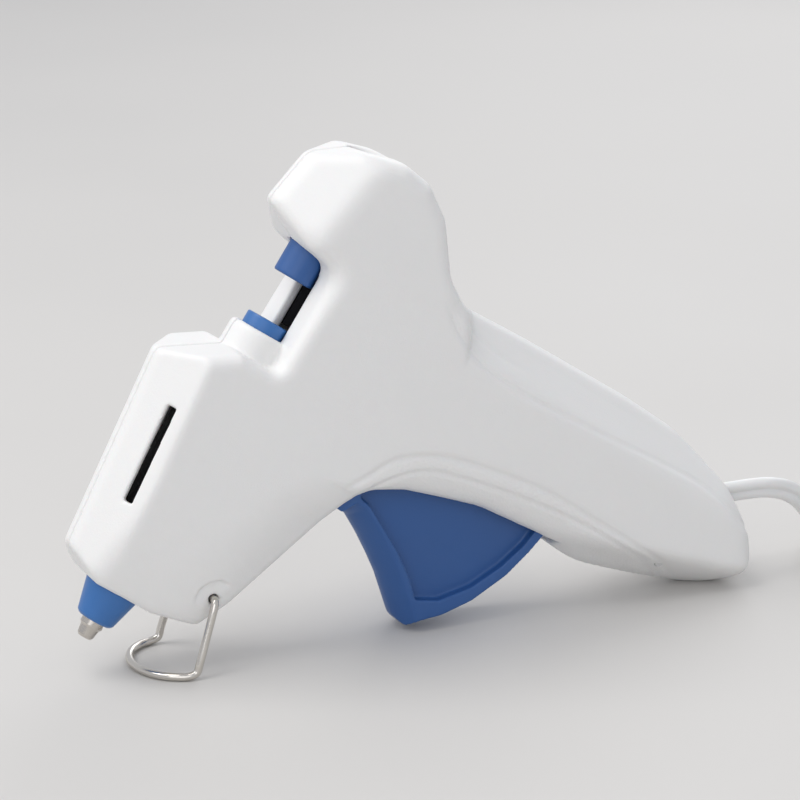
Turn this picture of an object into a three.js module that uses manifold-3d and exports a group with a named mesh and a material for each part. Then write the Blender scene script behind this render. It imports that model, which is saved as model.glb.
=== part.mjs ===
// Mini hot-melt glue gun, standing on its wire stand and the butt of its handle.
// Units are millimetres, +Z is up. The origin is on the surface it stands on, under
// the middle of the object (measured without the free cord). -X is the nozzle end,
// the parting plane of the two housing shells is Y = 0.
//
// The gun itself is built in its own axes: u runs backwards along the glue channel
// from the nozzle's mouth, v is square to it and away from the handle, w is sideways
// (w = -Y).  The whole gun is then tipped nose-down by PITCH.
import * as THREE from "three";
import { mergeVertices } from "three/addons/utils/BufferGeometryUtils.js";
import Module from "manifold-3d";

const wasm = await Module();
wasm.setup();

// ---------------------------------------------------------------- dimensions
const PITCH = 56.347;            // degrees the glue channel dips below horizontal
const TIP = [-83.72, 0, 9.63];    // nozzle mouth centre in the part's frame
const HALF_W = 13.8;             // half the thickness of the body
const WALL = 2.2;                // housing wall
const GAP = 0.3;                 // working gap between neighbours
const EDGE = 4.0;                // rounding of the body's side edges
const CHANNEL_R = 3.7;           // glue channel, for 7 mm sticks
const BARREL_R = 6.0;
const INSULATOR_R = 6.7;
const COLLAR_R = 7.6;
const SLEEVE_R = 5.15;
const CARRIAGE_R = 4.9;
const SLOT_HALF = 4.3;           // open stick channel in the notch floor
const FLOOR_V = -3.13;           // notch floor
const PIVOT = [58.5, -29.5];     // trigger pivot (u, v)
const TRIGGER_HALF = 7.0;
const STAND_PIVOT = [22.2, -18.6];
const STAND_WIRE_R = 0.95;
const CORD_W = 5.5;              // flat twin cord, width
const CORD_T = 3.0;              // and thickness

const CORD_EXIT = [86.0, 0, 21.2];
const WIRE_LEG_Y = 11.7;         // stand wire, half width at the bosses
const FOOT_Y = 12.8;             // and at the foot corners
const SCREWS = [[64.5, 12.3], [32.0, -19.4], [120.5, -13.5], [100.5, -57.5], [79.5, -121.0]];

// ---------------------------------------------------------------- helpers
const { Manifold, Mesh } = wasm;

// Turns a closed mesh's faces to point outwards.
function faceOutwards(g) {
  const p = g.attributes.position.array, idx = g.index.array;
  let volume = 0;
  for (let i = 0; i < idx.length; i += 3) {
    const [a, b, c] = [3 * idx[i], 3 * idx[i + 1], 3 * idx[i + 2]];
    volume += p[a] * (p[b + 1] * p[c + 2] - p[b + 2] * p[c + 1]) - p[a + 1] * (p[b] * p[c + 2] - p[b + 2] * p[c])
      + p[a + 2] * (p[b] * p[c + 1] - p[b + 1] * p[c]);
  }
  if (volume < 0) for (let i = 0; i < idx.length; i += 3) { const t = idx[i]; idx[i] = idx[i + 1]; idx[i + 1] = t; }
}

function solid(geometry) {
  let g = geometry.clone();
  g.deleteAttribute("normal");
  g.deleteAttribute("uv");
  g = mergeVertices(g, 1e-4);
  faceOutwards(g);
  return new Manifold(new Mesh({
    numProp: 3,
    vertProperties: Float32Array.from(g.attributes.position.array),
    triVerts: Uint32Array.from(g.index.array),
  }));
}

function geometryOf(manifold) {
  const m = manifold.getMesh();
  const g = new THREE.BufferGeometry();
  const n = m.vertProperties.length / m.numProp;
  const pos = new Float32Array(n * 3);
  for (let i = 0; i < n; i++) for (let k = 0; k < 3; k++) pos[3 * i + k] = m.vertProperties[i * m.numProp + k];
  g.setAttribute("position", new THREE.BufferAttribute(pos, 3));
  g.setIndex(new THREE.BufferAttribute(Uint32Array.from(m.triVerts), 1));
  return g;
}

// Rounds the corners of a closed outline: points are [x, y, radius].
function rounded(points, steps = 3) {
  const out = [];
  const n = points.length;
  for (let i = 0; i < n; i++) {
    const [x, y, r = 0] = points[i];
    if (r < 0.05) { out.push([x, y]); continue; }
    const p = points[(i + n - 1) % n], q = points[(i + 1) % n];
    const a = new THREE.Vector2(p[0] - x, p[1] - y), b = new THREE.Vector2(q[0] - x, q[1] - y);
    const la = a.length(), lb = b.length();
    a.divideScalar(la); b.divideScalar(lb);
    const half = Math.acos(THREE.MathUtils.clamp(a.dot(b), -1, 1)) / 2;
    const t = Math.min(r / Math.tan(half), la * 0.46, lb * 0.46);
    for (let k = 0; k <= steps; k++) {
      const s = k / steps, c0 = (1 - s) * (1 - s), c1 = 2 * s * (1 - s), c2 = s * s;
      out.push([
        c0 * (x + a.x * t) + c1 * x + c2 * (x + b.x * t),
        c0 * (y + a.y * t) + c1 * y + c2 * (y + b.y * t),
      ]);
    }
  }
  return out;
}

const shapeOf = (pts) => new THREE.Shape(pts.map((p) => new THREE.Vector2(p[0], p[1])));

// A plate of the outline (u, v) between w0 and w1, its rims rounded by `edge`,
// its outline moved inwards by `inset`.
function plate(pts, w0, w1, edge = 0, inset = 0, segments = 3) {
  const g = new THREE.ExtrudeGeometry(shapeOf(pts), {
    depth: w1 - w0 - 2 * edge,
    bevelEnabled: edge > 0 || inset > 0,
    bevelThickness: Math.max(edge, 1e-3),
    bevelSize: edge,
    bevelOffset: -edge - inset,
    bevelSegments: edge > 0 ? segments : 1,
    steps: 1,
  });
  g.translate(0, 0, w0 + edge);
  return solid(g);
}

// A thick plate of the outline with rounded rims. Rings of the outline, each moved
// inwards along smoothed normals, are stacked along w and joined.
function cushion(pts, half, edge, inset, segments = 2, window = 5) {
  const n = pts.length;
  const p = pts.map(([x, y]) => new THREE.Vector2(x, y));
  const along = [0];
  for (let i = 1; i <= n; i++) along.push(along[i - 1] + p[i % n].distanceTo(p[i - 1]));
  const total = along[n];
  const at = (s) => {
    s = ((s % total) + total) % total;
    let i = 0;
    while (along[i + 1] < s) i++;
    return p[i].clone().lerp(p[(i + 1) % n], (s - along[i]) / (along[i + 1] - along[i]));
  };
  const sign = THREE.ShapeUtils.area(p) > 0 ? 1 : -1;
  const inward = p.map((_, i) => {
    const d = at(along[i] + window).sub(at(along[i] - window)).normalize();
    return new THREE.Vector2(-d.y * sign, d.x * sign);
  });
  const layers = [];
  for (let k = 0; k <= segments; k++) {
    const a = (Math.PI / 2) * (k / segments);
    layers.push([-half + edge * (1 - Math.sin(a)), inset + edge * (1 - Math.cos(a))].reverse());
  }
  // [inset, w], from the rim inwards; ordered along w
  const lower = layers.map(([d, w]) => [edge > 0 ? d : inset, w]).sort((a, b) => a[1] - b[1]);
  const rings = [...lower, ...lower.map(([d, w]) => [d, -w]).reverse()];
  const pos = [], idx = [];
  for (const [d, w] of rings) p.forEach((q, i) => pos.push(q.x + inward[i].x * d, q.y + inward[i].y * d, w));
  const quad = (a, b, c, e) => idx.push(a, b, c, a, c, e);
  for (let r = 0; r + 1 < rings.length; r++)
    for (let i = 0; i < n; i++) {
      const j = (i + 1) % n, a = r * n + i, b = r * n + j, c = (r + 1) * n + j, e = (r + 1) * n + i;
      if (sign > 0) quad(a, b, c, e); else quad(b, a, e, c);
    }
  const d0 = rings[0][0];
  const cap = THREE.ShapeUtils.triangulateShape(p.map((q, i) => q.clone().addScaledVector(inward[i], d0)), []);
  const top = (rings.length - 1) * n;
  for (let [a, b, c] of cap) {
    const A = p[a], B = p[b], C = p[c];
    if ((B.x - A.x) * (C.y - A.y) - (C.x - A.x) * (B.y - A.y) < 0) [b, c] = [c, b];
    idx.push(top + a, top + b, top + c, a, c, b);
  }
  const g = new THREE.BufferGeometry();
  g.setAttribute("position", new THREE.BufferAttribute(Float32Array.from(pos), 3));
  g.setIndex(idx);
  return new Manifold(new Mesh({ numProp: 3, vertProperties: Float32Array.from(pos), triVerts: Uint32Array.from(idx) }));
}

// A cylinder or cone along u, from u0 (radius r0) to u1 (radius r1).
function alongU(profile, segments = 24) {
  // profile: closed list of [u, radius]
  const pts = profile.map(([u, r]) => new THREE.Vector2(r, u));
  pts.push(pts[0].clone());
  const g = new THREE.LatheGeometry(pts, segments);
  g.rotateZ(-Math.PI / 2);          // lathe axis +y -> +x
  g.scale(1, 1, 1);
  return solid(g);
}
const rodU = (u0, u1, r, seg = 24) => alongU([[u0, 0], [u1, 0], [u1, r], [u0, r]], seg);

// A cylinder along w at (u, v).
function rodW(u, v, w0, w1, r, seg = 20) {
  const g = new THREE.CylinderGeometry(r, r, w1 - w0, seg);
  g.rotateX(Math.PI / 2);
  g.translate(u, v, (w0 + w1) / 2);
  return solid(g);
}

function box(u0, u1, v0, v1, w0, w1) {
  const g = new THREE.BoxGeometry(u1 - u0, v1 - v0, w1 - w0);
  g.translate((u0 + u1) / 2, (v0 + v1) / 2, (w0 + w1) / 2);
  return solid(g);
}

// Everything on the far side of the plane through three points, the side away
// from `inside`, as a large box.
function beyond(a, b, c, inside, shift = 0) {
  const A = new THREE.Vector3(...a), B = new THREE.Vector3(...b), C = new THREE.Vector3(...c);
  const n = new THREE.Vector3().crossVectors(B.clone().sub(A), C.clone().sub(A)).normalize();
  if (n.dot(new THREE.Vector3(...inside).sub(A)) > 0) n.negate();
  const q = new THREE.Quaternion().setFromUnitVectors(new THREE.Vector3(0, 0, 1), n);
  const g = new THREE.BoxGeometry(500, 500, 120);
  g.translate(0, 0, 60);
  g.applyQuaternion(q);
  const o = A.clone().addScaledVector(n, -shift);
  g.translate(o.x, o.y, o.z);
  return solid(g);
}

function mirrorW(m) {
  const g = geometryOf(m);
  g.scale(1, 1, -1);
  return solid(g);
}

// A round or flat tube along points, as an extruded section.
function tube(points, sx, sy, sides = 8, steps = 40, closed = false) {
  const path = new THREE.CatmullRomCurve3(points.map((p) => new THREE.Vector3(...p)), closed, "centripetal");
  const s = new THREE.Shape();
  for (let i = 0; i < sides; i++) {
    const a = (2 * Math.PI * (i + 0.5)) / sides;
    const x = sx * Math.cos(a), y = sy * Math.sin(a);
    if (i === 0) s.moveTo(x, y); else s.lineTo(x, y);
  }
  s.closePath();
  return new THREE.ExtrudeGeometry(s, { steps, bevelEnabled: false, extrudePath: path });
}

// ---------------------------------------------------------------- body outline (u, v, corner radius)
const BODY = rounded([
  [12.9, 7.6, 2], [17.4, 15.7, 2.5], [41.3, 18.4, 30], [65.6, 21.2, 2.5], [73.9, 7.2, 3],
  [73.9, FLOOR_V, 3], [100.2, FLOOR_V, 5], [101.6, 5, 6], [106.9, 15.8, 2.5],
  [120.6, 13.2, 4], [126.4, 5.0, 4], [129.3, -5, 6], [128.4, -13, 6], [123.5, -20.7, 6],
  [112.6, -29.4, 8], [108.7, -37, 10], [109.9, -60, 20], [110.6, -92, 30], [109.9, -109, 20],
  [104.9, -127.6, 12], [98.3, -138.6, 8], [89.6, -146.0, 7], [79.2, -138.4, 10],
  [71.3, -119.5, 10], [69.1, -107, 14], [70.8, -88, 25], [69.4, -68.5, 20], [64.4, -48.2, 10],
  [60.6, -39.2, 6], [55.5, -36.4, 4], [38.2, -30.0, 30], [22.5, -24.2, 8], [14.6, -19.6, 3],
  [12.4, -8, 6],
], 2);

const sideCuts = (d) => {
  const one = [
    // top bevel of the front housing, of the rear housing
    beyond([17.4, 15.9, 2.2], [65.6, 21.3, 2.2], [46, 10.6, HALF_W], [40, 0, 0], d).subtract(box(79, 300, -300, 300, -300, 300)),
    beyond([106.9, 15.9, 2.2], [120.6, 13.4, 2.2], [113, 3.2, HALF_W], [113, -10, 0], d).subtract(box(-300, 86, -300, 300, -300, 300)),
    // back panel of the handle, finger side of the handle
    beyond([110.4, -60, 2.6], [110.4, -110, 2.6], [98.8, -80, HALF_W], [90, -80, 0], d).subtract(box(-300, 300, -40, 300, -300, 300)),
    beyond([69.6, -70, 8.6], [69.6, -110, 8.6], [79.6, -80, HALF_W], [90, -80, 0], d).subtract(box(-300, 300, -50, 300, -300, 300)),
    // belly bevel, which leaves room for the stand's legs
    beyond([22.5, -20.4, 9.9], [54, -32.6, 9.9], [22.5, -10.5, HALF_W], [40, 0, 0], d).subtract(box(56, 300, -300, 300, -300, 300)),
    // taper to the nozzle
    beyond([12.9, 0, 9.6], [12.9, 10, 9.6], [29, 0, HALF_W], [40, 0, 0], d).subtract(box(60, 300, -300, 300, -300, 300)),
  ];
  return Manifold.union([...one, ...one.map(mirrorW)]);
};

// ---------------------------------------------------------------- housing shells
// level bore for the cord through the back of the butt
function cordBore() {
  const g = new THREE.CylinderGeometry(CORD_W / 2 + GAP, CORD_W / 2 + GAP, 40, 14);
  g.rotateZ(Math.PI / 2);
  g.translate(CORD_EXIT[0], 0, CORD_EXIT[2]);
  g.applyMatrix4(GUN.clone().invert());
  return solid(g);
}
function floorPlane() {                 // everything below Z = 0, in gun axes
  const g = new THREE.BoxGeometry(600, 600, 100);
  g.translate(0, 0, -50);
  g.applyMatrix4(GUN.clone().invert());
  return solid(g);
}
const phi = THREE.MathUtils.degToRad(PITCH);
const U = new THREE.Vector3(Math.cos(phi), 0, Math.sin(phi));
const V = new THREE.Vector3(-Math.sin(phi), 0, Math.cos(phi));
const W = new THREE.Vector3(0, -1, 0);
const GUN = new THREE.Matrix4().makeBasis(U, V, W).setPosition(...TIP);

let outer = cushion(BODY, HALF_W, EDGE, 0, 2).subtract(sideCuts(0));
outer = outer.add(alongU([[66, 0], [80.3, 0], [80.3, COLLAR_R - 1.2], [79.2, COLLAR_R], [66, COLLAR_R]]));
let inner = cushion(BODY, HALF_W - WALL, 2.5, WALL, 1).subtract(sideCuts(WALL));
let shell = outer.subtract(inner);

// ribs and bosses inside: screw posts, pivot posts, barrel saddles, spring seat
const inside = (m) => m.intersect(outer);
const posts = [
  ...SCREWS.map(([u, v]) => rodW(u, v, -HALF_W, HALF_W, 2.9, 10)),
  rodW(PIVOT[0], PIVOT[1], -HALF_W, HALF_W, 3.3, 12).subtract(box(0, 200, -200, 200, -TRIGGER_HALF - 0.8, TRIGGER_HALF + 0.8)),
  rodW(...STAND_PIVOT, -HALF_W, HALF_W, 4.2, 20),
  // saddles that carry the melt barrel and the feed sleeve
  box(20.2, 22.4, -12, 12, -12, 12).subtract(rodU(10, 40, BARREL_R + GAP)),
  box(62.0, 64.2, -9.4, 12, -12, 12).subtract(rodU(50, 80, SLEEVE_R + 0.9 + GAP)),
  // guide that the stick carriage slides in
  alongU([[99, 0], [124.5, 0], [124.5, 7.0], [99, 7.0]]).subtract(box(96, 122.5, -20, -2.8, -20, 20)),
].map(inside);
shell = Manifold.union([shell, ...posts]);

// spring seat rib, square to the spring
{
  const g = new THREE.BoxGeometry(9, 1.8, 25);
  g.rotateZ(Math.atan2(-0.8324, 0.5542));
  const c = [69.3 + 0.8324 * 17.6, -44.7 + 0.5542 * 17.6];
  g.translate(c[0], c[1], 0);
  shell = shell.add(inside(solid(g)));
}

// openings
const openings = [
  rodU(-5, 20, INSULATOR_R + GAP),                          // nozzle
  rodU(55, 79.5, SLEEVE_R + 0.9 + GAP).intersect(box(64.2, 79.4, -20, 20, -20, 20)),
  rodU(60, 90, SLEEVE_R + GAP),                             // sleeve mouth
  rodU(96, 121.5, CARRIAGE_R + GAP),                        // carriage guide
  alongU([[120, 0], [135, 0], [135, 6.2], [128.9, 5.4], [126.5, 4.3], [120, 4.3]]), // stick inlet
  box(80.3, 101.5, -8, 0.0, -SLOT_HALF, SLOT_HALF),         // stick channel in the notch floor
  box(99.0, 121.5, -9, -2, -SLOT_HALF, SLOT_HALF),
  rodW(...PIVOT, -11.8, 11.8, 1.5 + GAP, 12),               // trigger pivot pin
  rodW(...STAND_PIVOT, -HALF_W - 1, -4.6, STAND_WIRE_R + GAP, 14),
  rodW(...STAND_PIVOT, 4.6, HALF_W + 1, STAND_WIRE_R + GAP, 14),
  // flats at the stand bosses
  rodW(...STAND_PIVOT, 10.4, 20, 4.7, 24),
  rodW(...STAND_PIVOT, -20, -10.4, 4.7, 24),
  cordBore(),
];
// vent slots, one in each top bevel
for (const s of [1, -1]) {
  const g = new THREE.BoxGeometry(23.6, 2.3, 16);
  g.rotateX(-s * 0.72);
  g.rotateZ(Math.atan2(1.9, 22));
  g.translate(44.4, 12.6, s * 8.6);
  openings.push(solid(g));
}
// trigger opening
openings.push(plate(rounded([[49.0, -38.5, 0], [52.2, -33.5, 0], [57, -32.6, 0], [71, -33.0, 0], [79, -60, 0], [79, -93.2, 0], [60, -95.4, 0]], 1),
  -TRIGGER_HALF - 0.4, TRIGGER_HALF + 0.4).subtract(box(0, 200, -33.2, 0, -20, 20)));
// screw holes from the right-hand (w < 0) side
for (const [u, v] of SCREWS) {
  openings.push(rodW(u, v, -30, -9.4, 2.5, 12), rodW(u, v, -10, 9.0, 1.35, 8));
}
shell = shell.subtract(Manifold.union(openings));
shell = shell.subtract(floorPlane());
const leftShell = shell.intersect(box(-50, 200, -200, 60, GAP / 2, 40)).subtract(box(-50, 10, -200, 200, -40, 40));
const rightShell = shell.intersect(box(-50, 200, -200, 60, -40, -GAP / 2)).subtract(box(-50, 10, -200, 200, -40, 40));
const biggest = (m) => m.decompose().sort((a, b) => b.volume() - a.volume())[0];

// ---------------------------------------------------------------- colours
const mat = (color, roughness, metalness) => new THREE.MeshStandardMaterial({ color, roughness, metalness });
const WHITE = mat(0xf1f0ee, 0.45, 0), BLUE = mat(0x2f5594, 0.4, 0), SILICONE = mat(0x3a6cb4, 0.35, 0);
const STEEL = mat(0xc9c8c6, 0.25, 1), NICKEL = mat(0xb9b4ab, 0.3, 1), ALU = mat(0xb4b6b8, 0.4, 1);
const BLACK = mat(0x1c1d20, 0.6, 0), CERAMIC = mat(0xe6e0d2, 0.6, 0), CORD = mat(0xf0f0ef, 0.35, 0);
const BOSS = mat(0xeeeeec, 0.3, 0), BRASS = mat(0xb08d4a, 0.35, 1), DARK = mat(0x2a2a2c, 0.8, 0);

const group = new THREE.Group();
const gun = new THREE.Group();
gun.matrixAutoUpdate = false;
gun.matrix.copy(GUN);
group.add(gun);
function put(name, m, material, parent = gun) {
  const g = m.isBufferGeometry ? m : geometryOf(m);
  const mesh = new THREE.Mesh(g, material);
  mesh.name = name;
  parent.add(mesh);
  return mesh;
}

put("left_housing_shell", biggest(leftShell), WHITE);
put("right_housing_shell", biggest(rightShell), WHITE);

// ---------------------------------------------------------------- nozzle and melt chamber
put("nozzle_tip", alongU([[0, 0.8], [0, 1.75], [0.5, 2.0], [2.6, 2.35], [3.1, 2.75], [7.0, 2.75], [7.0, 0.8]], 24), NICKEL);
put("nozzle_insulator", alongU([[4.5, 3.05], [4.5, 4.1], [5.0, 4.6], [12.6, INSULATOR_R - 0.1],
  [18.6, INSULATOR_R - 0.1], [18.6, 5.65], [13.7, 5.4], [12.3, 3.75], [7.3, 3.75], [7.3, 3.05]], 24), BLUE);
put("melt_barrel", alongU([[7.6, 0.9], [7.6, 3.4], [12.6, 3.4], [14.0, 5.0], [19.0, 5.2], [19.4, BARREL_R], [60, BARREL_R], [60, 4.5], [66, 4.5],
  [66, CHANNEL_R], [17, CHANNEL_R]], 20), ALU);
put("feed_sleeve", alongU([[60.4, 4.8], [60.4, SLEEVE_R + 0.9], [66, SLEEVE_R + 0.9], [67, SLEEVE_R], [83.3, SLEEVE_R],
  [83.3, CHANNEL_R + 0.1], [66.4, CHANNEL_R + 0.1], [66.4, 4.8]], 24), SILICONE);
put("ptc_heater", box(27, 50, -9.3, -6.35, -4.6, 4.6), CERAMIC);
// spring clip around the barrel and the heater
{
  const n = 18, outerPts = [], innerPts = [];
  for (let i = 0; i <= n; i++) {
    const a = THREE.MathUtils.degToRad(-20 + (220 * i) / n);
    outerPts.push([Math.cos(a) * (BARREL_R + 1.0), Math.sin(a) * (BARREL_R + 1.0)]);
    innerPts.push([Math.cos(a) * (BARREL_R + GAP), Math.sin(a) * (BARREL_R + GAP)]);
  }
  const section = [[2.5, -10.5], [6.4, -10.5], ...outerPts, [-6.4, -10.5], [-2.5, -10.5], [-2.5, -9.7],
    [-5.6, -9.7], ...innerPts.reverse(), [5.6, -9.7], [2.5, -9.7]];
  // section is (w, v); extrude along u
  const g = new THREE.ExtrudeGeometry(shapeOf(section), { depth: 9, bevelEnabled: false });
  g.applyMatrix4(new THREE.Matrix4().makeBasis(new THREE.Vector3(0, 0, -1), new THREE.Vector3(0, 1, 0), new THREE.Vector3(1, 0, 0)));
  g.translate(34, 0, 0);
  put("heater_clip", solid(g), STEEL);
}
// dark glass-fibre wrap around the hot barrel, open below for the heater
{
  const r0 = 8.2, r1 = 8.9, pts = [];
  for (let i = 0; i <= 16; i++) { const a = THREE.MathUtils.degToRad(-8 + (196 * i) / 16); pts.push([Math.cos(a) * r1, Math.sin(a) * r1]); }
  for (let i = 16; i >= 0; i--) { const a = THREE.MathUtils.degToRad(-8 + (196 * i) / 16); pts.push([Math.cos(a) * r0, Math.sin(a) * r0]); }
  const g = new THREE.ExtrudeGeometry(shapeOf(pts), { depth: 35.5, bevelEnabled: false });
  g.applyMatrix4(new THREE.Matrix4().makeBasis(new THREE.Vector3(0, 0, -1), new THREE.Vector3(0, 1, 0), new THREE.Vector3(1, 0, 0)));
  g.translate(24.3, 0, 0);
  put("barrel_heat_wrap", solid(g), DARK);
}

// ---------------------------------------------------------------- stick feed
put("stick_trough", box(84.2, 96.0, -10.4, -5.9, -6.0, 6.0).subtract(box(80, 99, -9.4, 0, -4.9, 4.9)), BLACK);
{
  let c = alongU([[94.1, CHANNEL_R + 0.1], [94.1, CARRIAGE_R - 0.3], [94.4, CARRIAGE_R], [117, CARRIAGE_R], [117, CHANNEL_R + 0.1]], 24);
  const cheeks = box(103.6, 115, -15.9, -3.9, -3.9, 3.9).subtract(box(100, 120, -20, -3.0, -2.3, 2.3))
    .subtract(rodU(90, 120, CHANNEL_R + 0.1, 24));
  c = c.subtract(box(106.5, 113, -8, 0, -2.3, 2.3)).add(cheeks).subtract(rodW(110, -9.5, -6, 6, 1.0 + GAP, 12)).subtract(rodW(105.2, -14.4, -6, 6, 0.7 + GAP, 10));
  put("stick_carriage", c, BLUE);
}
put("grip_lever_pin", rodW(110, -9.5, -3.8, 3.8, 1.0, 12), STEEL);
put("grip_lever", plate(rounded([[107.2, -4.4, 0.3], [109.4, -4.6, 0.5], [112.6, -8.4, 1], [112.4, -12, 1], [109.4, -13.4, 0.6], [107.6, -12.6, 0.6], [107.4, -8.6, 1]], 2),
  -1.9, 1.9).subtract(rodW(110, -9.5, -6, 6, 1.0 + GAP, 12)), BLACK);
// push link from the trigger's arm to the carriage
put("push_link", plate(rounded([[53.6, -15.6, 0.5], [53.6, -10.9, 0.5], [62.2, -10.9, 1], [64.6, -13.2, 1.0], [106.3, -13.2, 0.5],
  [106.3, -15.6, 0.5], [61.7, -15.6, 0.3], [61.0, -12.5, 0.3], [56.0, -12.5, 0.3], [55.3, -15.6, 0.3]], 1), -2.0, 2.0)
  .subtract(rodW(105.2, -14.4, -6, 6, 0.7 + GAP, 10)), BLACK);
put("link_pin", rodW(105.2, -14.4, -3.8, 3.8, 0.7, 10), STEEL);
// trigger: web, rim and crowned finger flange, with an arm that moves the push link
const FINGER = [[53.3, -38.6], [53.0, -42.4], [50.2, -47.8], [47.1, -53.0], [44.1, -57.6], [40.9, -61.6], [37.2, -66.2]];
const RIM = [[38.9, -70.6], [43.0, -75.6], [49.5, -80.9], [58.7, -85.7], [66.2, -88.0], [75.6, -90.0]];
const trigOutline = rounded([
  [55.9, -33.9, 0.3], [52.6, -34.7, 0.3], ...FINGER.map(([u, v], i) => [u, v, i ? 6 : 1]), [36.4, -69.9, 1.0],
  ...RIM.map(([u, v]) => [u, v, 10]), [76.6, -86, 1], [76.2, -66, 4], [73.9, -51.9, 2], [63.4, -35.4, 1], [61.4, -29.0, 2],
  [60.4, -17.5, 1], [59.5, -13.4, 0.6], [57.5, -13.4, 0.6], [56.7, -17.5, 1], [55.9, -27.5, 2],
], 2);
{
  let t = plate(trigOutline, -TRIGGER_HALF, TRIGGER_HALF);
  const crown = beyond([52.6, -42.5, 2.2], [38.5, -63.8, 2.2], [55.9, -44.7, TRIGGER_HALF], [70, -60, 0], 0)
    .intersect(box(0, 100, -100, -38.8, -20, 20));
  t = t.subtract(crown).subtract(mirrorW(crown));
  // pockets on both sides leave a web in the middle
  const pocket = rounded([[58.2, -41.4, 1], [57.9, -43.9, 2], [55.0, -49.8, 6], [51.2, -57.4, 8], [47.2, -63.4, 6], [43.9, -67.6, 2], [46.6, -72.8, 1.5],
    [52.4, -78.6, 8], [60.0, -83.0, 8], [67.0, -85.4, 8], [73.9, -86.6, 1], [73.3, -66, 4], [71.6, -53.4, 2], [63.6, -41.0, 1]], 2);
  for (const s of [1, -1]) t = t.subtract(plate(pocket, Math.min(s * 4.4, s * 12), Math.max(s * 4.4, s * 12)));
  // the arm above the pivot is slim
  t = t.subtract(box(50, 70, -32.6, 0, 1.7, 12)).subtract(box(50, 70, -32.6, 0, -12, -1.7));
  t = t.add(rodW(...PIVOT, -6.6, 6.6, 3.2, 20)).subtract(rodW(...PIVOT, -20, 20, 1.5 + GAP, 16));
  put("trigger", t, BLUE);
}
put("trigger_pivot_pin", rodW(...PIVOT, -11.5, 11.5, 1.5, 16), STEEL);


// ---------------------------------------------------------------- screws, from the right-hand side
SCREWS.forEach(([u, v], i) => {
  const head = rodW(u, v, -10.9, -9.7, 2.2, 12).subtract(box(u - 1.7, u + 1.7, v - 0.3, v + 0.3, -12, -10.3)).subtract(box(u - 0.3, u + 0.3, v - 1.7, v + 1.7, -12, -10.3));
  put("housing_screw_" + (i + 1), head.add(rodW(u, v, -9.9, 8.4, 1.05, 8)), STEEL);
});

// ---------------------------------------------------------------- return spring, upright in the part's frame
{
  const base = new THREE.Vector3(69.3 + 0.8324 * 0.95, -44.7 + 0.5542 * 0.95, 0).applyMatrix4(GUN);
  const turns = 5, height = 14.6, r = 2.7, n = turns * 10;
  const pts = [];
  for (let i = 0; i <= n; i++) {
    const a = (2 * Math.PI * i) / 10;
    pts.push([base.x + r * Math.cos(a), base.y + r * Math.sin(a), base.z + 0.2 + (height * i) / n]);
  }
  put("trigger_return_spring", solid(tube(pts, 0.42, 0.42, 5, n)), STEEL, group);
}

// ---------------------------------------------------------------- stand: one bent wire
const SHIFT = TIP[0] + 22.287;
{
  const p = new THREE.Vector3(STAND_PIVOT[0], STAND_PIVOT[1], 0).applyMatrix4(GUN);
  const z = STAND_WIRE_R + 0.06;
  const half = [
    [p.x, -5.2, p.z], [p.x, -8.5, p.z], [p.x, -10.4, p.z], [p.x - 0.12, -11.4, p.z - 0.4], [p.x - 0.5, -WIRE_LEG_Y, p.z - 1.5],
    [p.x - 2.2, -WIRE_LEG_Y - 0.5, p.z - 6.6], [SHIFT + 0.9, -FOOT_Y, z + 3.0], [SHIFT + 0.1, -FOOT_Y + 0.1, z + 0.7],
    [SHIFT - 1.6, -FOOT_Y + 0.2, z], [SHIFT - 4.6, -FOOT_Y + 1.3, z], [SHIFT - 7.8, -FOOT_Y + 4.0, z], [SHIFT - 9.9, -4.8, z],
  ];
  const pts = [...half, [SHIFT - 10.7, 0, z], ...half.map(([x, y, zz]) => [x, -y, zz]).reverse()];
  put("wire_stand", solid(tube(pts, STAND_WIRE_R, STAND_WIRE_R, 8, 46)), NICKEL, group);
}

// ---------------------------------------------------------------- wiring inside the handle
for (const s of [1, -1]) {
  const pts = [[95.7, -122.3, s * 1.4], [93.0, -116, s * 3.6], [93.6, -104, s * 7.6], [96.0, -88, s * 8.9], [96.2, -60, s * 8.9], [95.4, -44, s * 8.9],
    [90.5, -31, s * 8.9], [80, -22.5, s * 8.9], [66, -18.6, s * 8.6], [56.5, -13.4, s * 6.6], [52.8, -9.2, s * 3.6], [50.6, -7.9, s * 2.9]];
  put(s > 0 ? "lead_wire_left" : "lead_wire_right", solid(tube(pts, 0.95, 0.95, 6, 26)), s > 0 ? mat(0xe9e7e2, 0.5, 0) : mat(0x222226, 0.5, 0));
}
// clamp that grips the cord inside the butt: a saddle across the level bore
{
  const cx = CORD_EXIT[0] - 12.5, cz = CORD_EXIT[2], r = CORD_W / 2 + GAP;
  const g = new THREE.BoxGeometry(5, 11.6, 1.9);
  g.translate(cx, 0, cz + r + 0.95);
  const g2 = new THREE.BoxGeometry(5, 2.2, 6.4);
  const legs = [1, -1].map((s) => { const k = g2.clone(); k.translate(cx, s * (r + 1.3), cz + r - 2.9); return solid(k); });
  put("cord_clamp", solid(g).add(legs[0]).add(legs[1]), BLACK, group);
}

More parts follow.
